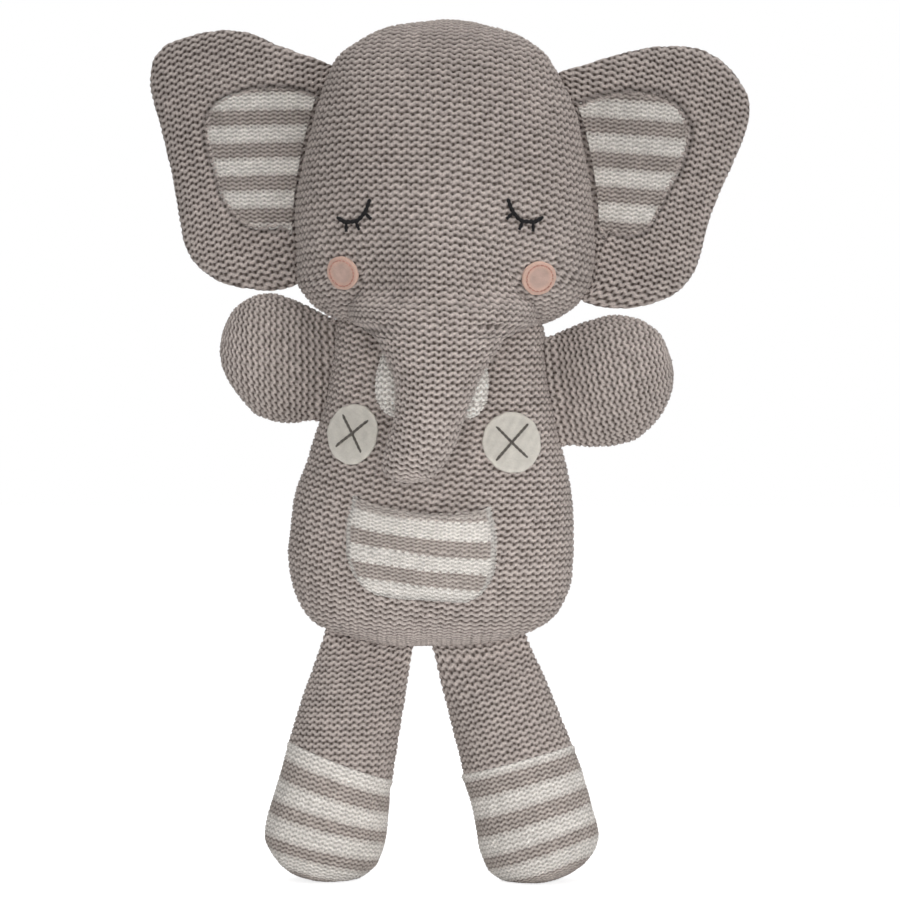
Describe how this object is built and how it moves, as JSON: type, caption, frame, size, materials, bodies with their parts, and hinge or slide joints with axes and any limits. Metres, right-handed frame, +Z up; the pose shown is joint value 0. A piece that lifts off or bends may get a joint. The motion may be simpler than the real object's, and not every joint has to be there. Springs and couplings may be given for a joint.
{
  "type": "stuffed elephant",
  "caption": "Knitted stuffed elephant that stands on flat soles, with nodding head, lifting trunk, flapping ears, swinging limbs and an open belly pocket.",
  "frame": {"origin": "middle of the part's box, on the floor under the soles", "axes": "+Z up, the face looks along -Y, +X is the toy's left"},
  "size_m": [0.2662, 0.1218, 0.3796],
  "materials": {
    "yarn_taupe": "matt knitted yarn, purl side out",
    "yarn_striped": "matt fine knit, striped white and grey",
    "yarn_white": "matt white knitted yarn",
    "stuffing_white": "loose polyester fibre",
    "felt_cream": "matt wool felt",
    "felt_peach": "matt wool felt",
    "thread_black": "matt embroidery thread",
    "thread_grey": "matt embroidery thread"
  },
  "bodies": {
    "torso": {"body_cover": "yarn_taupe", "body_stuffing": "stuffing_white", "pocket": "yarn_striped", "button_right": "felt_cream", "button_left": "felt_cream", "button_cross_right": "thread_grey", "button_cross_left": "thread_grey"},
    "head": {"head_cover": "yarn_taupe", "head_stuffing": "stuffing_white", "eye_right": "thread_black", "eye_left": "thread_black", "cheek_right": "felt_peach", "cheek_left": "felt_peach", "tusk_right_cover": "yarn_white", "tusk_right_stuffing": "stuffing_white", "tusk_left_cover": "yarn_white", "tusk_left_stuffing": "stuffing_white"},
    "trunk": {"trunk_cover": "yarn_taupe", "trunk_stuffing": "stuffing_white"},
    "ear_right": {"ear_right_cover": "yarn_taupe", "ear_right_batting": "stuffing_white", "ear_right_lining": "yarn_striped"},
    "arm_right": {"arm_right_cover": "yarn_taupe", "arm_right_stuffing": "stuffing_white"},
    "leg_right": {"leg_right_cover": "yarn_taupe", "foot_right_cover": "yarn_striped", "leg_right_stuffing": "stuffing_white"},
    "ear_left": {"ear_left_cover": "yarn_taupe", "ear_left_batting": "stuffing_white", "ear_left_lining": "yarn_striped"},
    "arm_left": {"arm_left_cover": "yarn_taupe", "arm_left_stuffing": "stuffing_white"},
    "leg_left": {"leg_left_cover": "yarn_taupe", "foot_left_cover": "yarn_striped", "leg_left_stuffing": "stuffing_white"}
  },
  "joints": [
    {"name": "neck_nod", "type": "hinge", "parent": "torso", "child": "head", "pos_m": [-0.00402, 0.01385, 0.233], "axis": [-1, 0, 0], "range_deg": [-4, 18], "stiffness_Nm_per_rad": 0.5},
    {"name": "trunk_lift", "type": "hinge", "parent": "head", "child": "trunk", "pos_m": [-0.00163, -0.02814, 0.266], "axis": [-1, 0, 0], "range_deg": [0, 60], "stiffness_Nm_per_rad": 0.05},
    {"name": "ear_right_flap", "type": "hinge", "parent": "head", "child": "ear_right", "pos_m": [-0.06772, 0.01785, 0.31348], "axis": [0.1736, 0, 0.9848], "range_deg": [-35, 50], "stiffness_Nm_per_rad": 0.02},
    {"name": "arm_right_swing", "type": "hinge", "parent": "torso", "child": "arm_right", "pos_m": [-0.05682, 0.01385, 0.22343], "axis": [0.165, 0, 0.9863], "range_deg": [-45, 55], "stiffness_Nm_per_rad": 0.03},
    {"name": "leg_right_swing", "type": "hinge", "parent": "torso", "child": "leg_right", "pos_m": [-0.03461, 0.01385, 0.10192], "axis": [-0.9744, 0, 0.225], "range_deg": [-40, 55], "stiffness_Nm_per_rad": 0.6},
    {"name": "ear_left_flap", "type": "hinge", "parent": "head", "child": "ear_left", "pos_m": [0.06554, 0.01785, 0.30744], "axis": [0.1184, 0, -0.993], "range_deg": [-35, 50], "stiffness_Nm_per_rad": 0.02},
    {"name": "arm_left_swing", "type": "hinge", "parent": "torso", "child": "arm_left", "pos_m": [0.04956, 0.01385, 0.21399], "axis": [0.1994, 0, -0.9799], "range_deg": [-45, 55], "stiffness_Nm_per_rad": 0.03},
    {"name": "leg_left_swing", "type": "hinge", "parent": "torso", "child": "leg_left", "pos_m": [0.01424, 0.01385, 0.09945], "axis": [-0.95, 0, -0.3123], "range_deg": [-40, 55], "stiffness_Nm_per_rad": 0.6}
  ]
}
